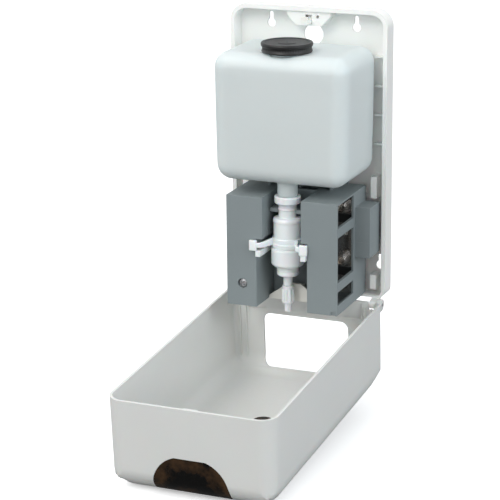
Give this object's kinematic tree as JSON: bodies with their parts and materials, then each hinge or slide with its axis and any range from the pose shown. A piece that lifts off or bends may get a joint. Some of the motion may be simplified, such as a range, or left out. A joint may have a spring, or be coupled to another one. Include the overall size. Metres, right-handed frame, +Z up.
{
  "type": "wall mounted soap dispenser",
  "caption": "Automatic soap dispenser for a wall, with its front cover hinged down to show the bottle, pump, drive housing and battery bay.",
  "frame": {"origin": "on the wall face, midway across the back plate, at its bottom edge", "axes": "+Z up, +Y into the wall, +X to the right of someone facing the dispenser"},
  "size_m": [0.159, 0.308, 0.3878],
  "materials": {
    "white_abs": "moulded white plastic, satin",
    "grey_abs": "moulded grey plastic, fine texture",
    "natural_hdpe": "translucent blown plastic",
    "white_pp": "bright white moulded plastic",
    "acetal": "moulded acetal",
    "black_rubber": "matte rubber",
    "smoked_pc": "smoked clear plastic",
    "nickel": "nickel-plated spring steel",
    "steel": "zinc-plated steel",
    "board": "printed circuit board",
    "dark_lens": "dark infrared-clear plastic"
  },
  "bodies": {
    "mount": {"back_plate": "white_abs", "hinge_pins": "steel", "latch_housing": "white_abs", "chassis": "grey_abs", "chassis_screws": "steel", "drive_cover": "grey_abs", "drive_cover_screw": "steel", "battery_box": "grey_abs", "rear_top_contact": "nickel", "rear_middle_contact": "nickel", "rear_bottom_contact": "nickel", "front_top_contact": "nickel", "front_bottom_contact": "nickel", "adapter_box": "grey_abs", "adapter_lid": "grey_abs", "adapter_jack": "black_rubber", "motor": "steel", "motor_bracket": "steel", "gear_axle": "steel", "control_board": "board", "sensor_housing": "white_abs", "sensor_lenses": "dark_lens", "sensor_board": "board", "pump_saddle": "grey_abs"},
    "cover": {"front_cover": "white_abs", "level_window": "smoked_pc"},
    "latch": {"latch_slider": "white_abs"},
    "bottle_unit": {"bottle": "natural_hdpe", "pump_body": "white_pp", "neck_gasket": "black_rubber", "pump_spring": "nickel"},
    "cap": {"refill_cap": "black_rubber", "cap_seal": "black_rubber"},
    "plunger": {"pump_collar": "white_pp", "pump_bell": "white_pp", "piston_rod": "white_pp", "pump_stem": "white_pp", "nozzle": "white_pp"},
    "fork": {"lift_fork": "grey_abs"},
    "gear": {"drive_gear": "acetal"},
    "pinion": {"motor_pinion": "acetal"}
  },
  "joints": [
    {"name": "cover_hinge", "type": "hinge", "parent": "mount", "child": "cover", "pos_m": [0, -0.0217, -0.0053], "axis": [1, 0, 0], "range_deg": [-94, 0]},
    {"name": "latch_lift", "type": "slide", "parent": "mount", "child": "latch", "axis": [0, 0, 1], "range_m": [0, 0.004]},
    {"name": "bottle_pull", "type": "slide", "parent": "mount", "child": "bottle_unit", "axis": [0, -1, 0], "range_m": [0, 0.12]},
    {"name": "cap_lift", "type": "slide", "parent": "bottle_unit", "child": "cap", "axis": [0, 0, 1], "range_m": [0, 0.03]},
    {"name": "pump_push", "type": "slide", "parent": "bottle_unit", "child": "plunger", "axis": [0, 0, 1], "range_m": [0, 0.01], "stiffness_N_per_m": 300, "deforming": ["pump_spring"]},
    {"name": "fork_lift", "type": "slide", "parent": "mount", "child": "fork", "axis": [0, 0, 1], "range_m": [0, 0.01]},
    {"name": "gear_spin", "type": "hinge", "parent": "mount", "child": "gear", "pos_m": [-0.04, -0.06, 0.043], "axis": [1, 0, 0], "range_deg": [0, 96]},
    {"name": "motor_spin", "type": "hinge", "parent": "mount", "child": "pinion", "pos_m": [-0.049, -0.06821, 0.06555], "axis": [1, 0, 0], "range_deg": [-288, 0]}
  ],
  "couplings": [
    {"joint": "fork_lift", "follows": "pump_push", "ratio": 1},
    {"joint": "gear_spin", "follows": "pump_push", "rad_per_m": 166.67},
    {"joint": "motor_spin", "follows": "pump_push", "rad_per_m": -500}
  ]
}
